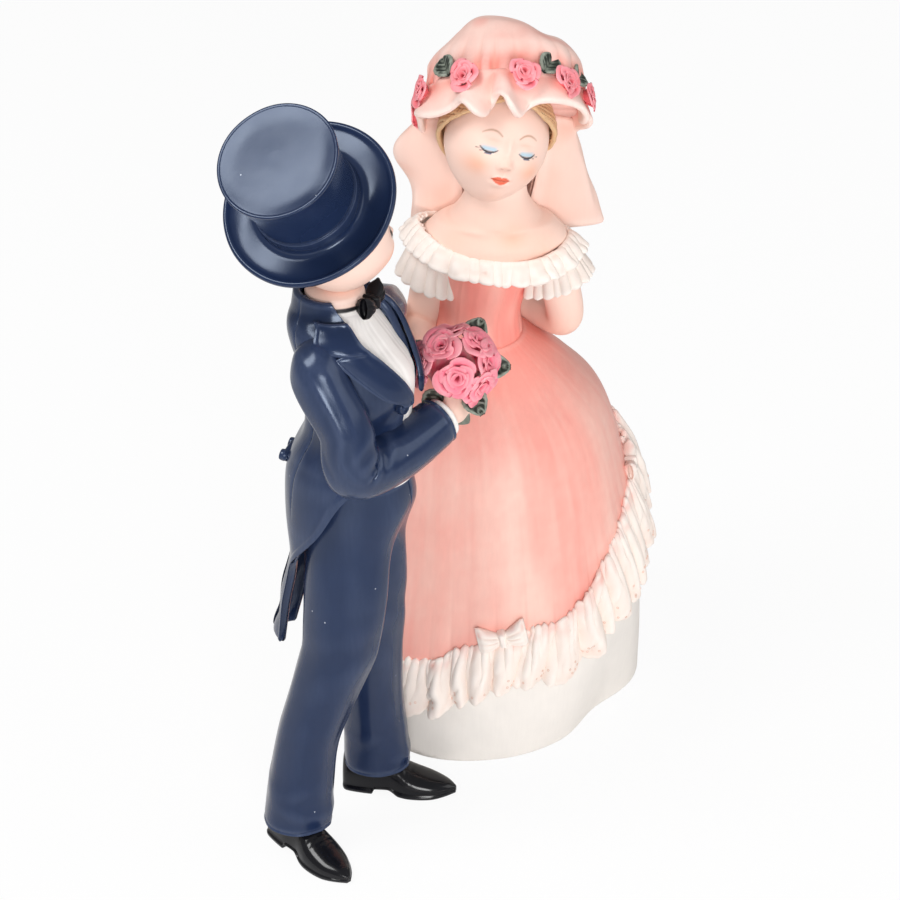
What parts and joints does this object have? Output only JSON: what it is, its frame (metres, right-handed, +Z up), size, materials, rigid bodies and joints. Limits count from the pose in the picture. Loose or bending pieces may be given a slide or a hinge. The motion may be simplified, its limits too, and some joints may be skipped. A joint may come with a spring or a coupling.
{
  "type": "wedding cake topper",
  "caption": "Painted bride and groom figurine pair that stands on a wedding cake: flounced pink gown, bonnet and veil beside a navy tailcoat, top hat and rose posy.",
  "frame": {"origin": "middle of the footprint box, on the plane that the pair stands on", "axes": "+Z up through the figures, -Y towards the viewer of the picture, +X to the right of the picture"},
  "size_m": [0.081, 0.0964, 0.1574],
  "materials": {
    "white_paint": "matte paint over cast resin",
    "gown_coral": "matte paint over cast resin",
    "ivory_lace": "matte paint over cast resin",
    "skin": "matte paint over cast resin",
    "blond_hair": "matte paint over cast resin",
    "bonnet_pink": "matte paint over cast resin",
    "bonnet_rose": "matte paint over cast resin",
    "leaf_green": "matte paint over cast resin",
    "veil_pink": "matte paint over cast resin",
    "navy_paint": "satin paint over cast resin",
    "black_gloss": "gloss paint over cast resin",
    "brown_hair": "matte paint over cast resin",
    "posy_rose": "matte paint over cast resin"
  },
  "bodies": {
    "root": {"bride_underskirt": "white_paint", "bride_overskirt": "gown_coral", "bride_hem_flounce": "ivory_lace", "bride_front_bow": "ivory_lace", "bride_side_bow": "ivory_lace", "bride_bodice": "gown_coral", "bride_bust": "skin", "bride_neckline_ruffle": "ivory_lace", "bride_left_arm": "skin", "bride_right_arm": "skin", "bride_left_sleeve_frill": "ivory_lace", "bride_right_sleeve_frill": "ivory_lace", "bride_head": "skin", "bride_hair": "blond_hair", "bride_bonnet_crown": "bonnet_pink", "bride_bonnet_frill": "bonnet_pink", "bride_bonnet_rose_1": "bonnet_rose", "bride_bonnet_rose_2": "bonnet_rose", "bride_bonnet_rose_3": "bonnet_rose", "bride_bonnet_rose_4": "bonnet_rose", "bride_bonnet_rose_5": "bonnet_rose", "bride_bonnet_rose_6": "bonnet_rose", "bride_bonnet_leaf_1": "leaf_green", "bride_bonnet_leaf_2": "leaf_green", "bride_bonnet_leaf_3": "leaf_green", "bride_bonnet_leaf_4": "leaf_green", "bride_veil": "veil_pink", "groom_right_trouser_leg": "navy_paint", "groom_right_shoe": "black_gloss", "groom_left_trouser_leg": "navy_paint", "groom_left_shoe": "black_gloss", "groom_shirt_front": "white_paint", "groom_tailcoat": "navy_paint", "groom_right_lapel": "navy_paint", "groom_left_lapel": "navy_paint", "groom_front_button": "navy_paint", "groom_back_tab": "navy_paint", "groom_bow_tie": "black_gloss", "groom_right_sleeve": "navy_paint", "groom_right_cuff": "white_paint", "groom_right_hand": "skin", "groom_left_sleeve": "navy_paint", "groom_left_hand": "skin", "groom_head": "skin", "groom_hair": "brown_hair", "groom_top_hat": "navy_paint", "groom_hat_band": "black_gloss", "posy_holder": "leaf_green", "posy_rose_1": "posy_rose", "posy_rose_2": "posy_rose", "posy_rose_3": "posy_rose", "posy_rose_4": "posy_rose", "posy_rose_5": "posy_rose", "posy_rose_6": "posy_rose", "posy_rose_7": "posy_rose", "posy_leaf_1": "leaf_green", "posy_leaf_2": "leaf_green", "posy_leaf_3": "leaf_green", "posy_leaf_4": "leaf_green", "posy_leaf_5": "leaf_green"}
  },
  "joints": []
}
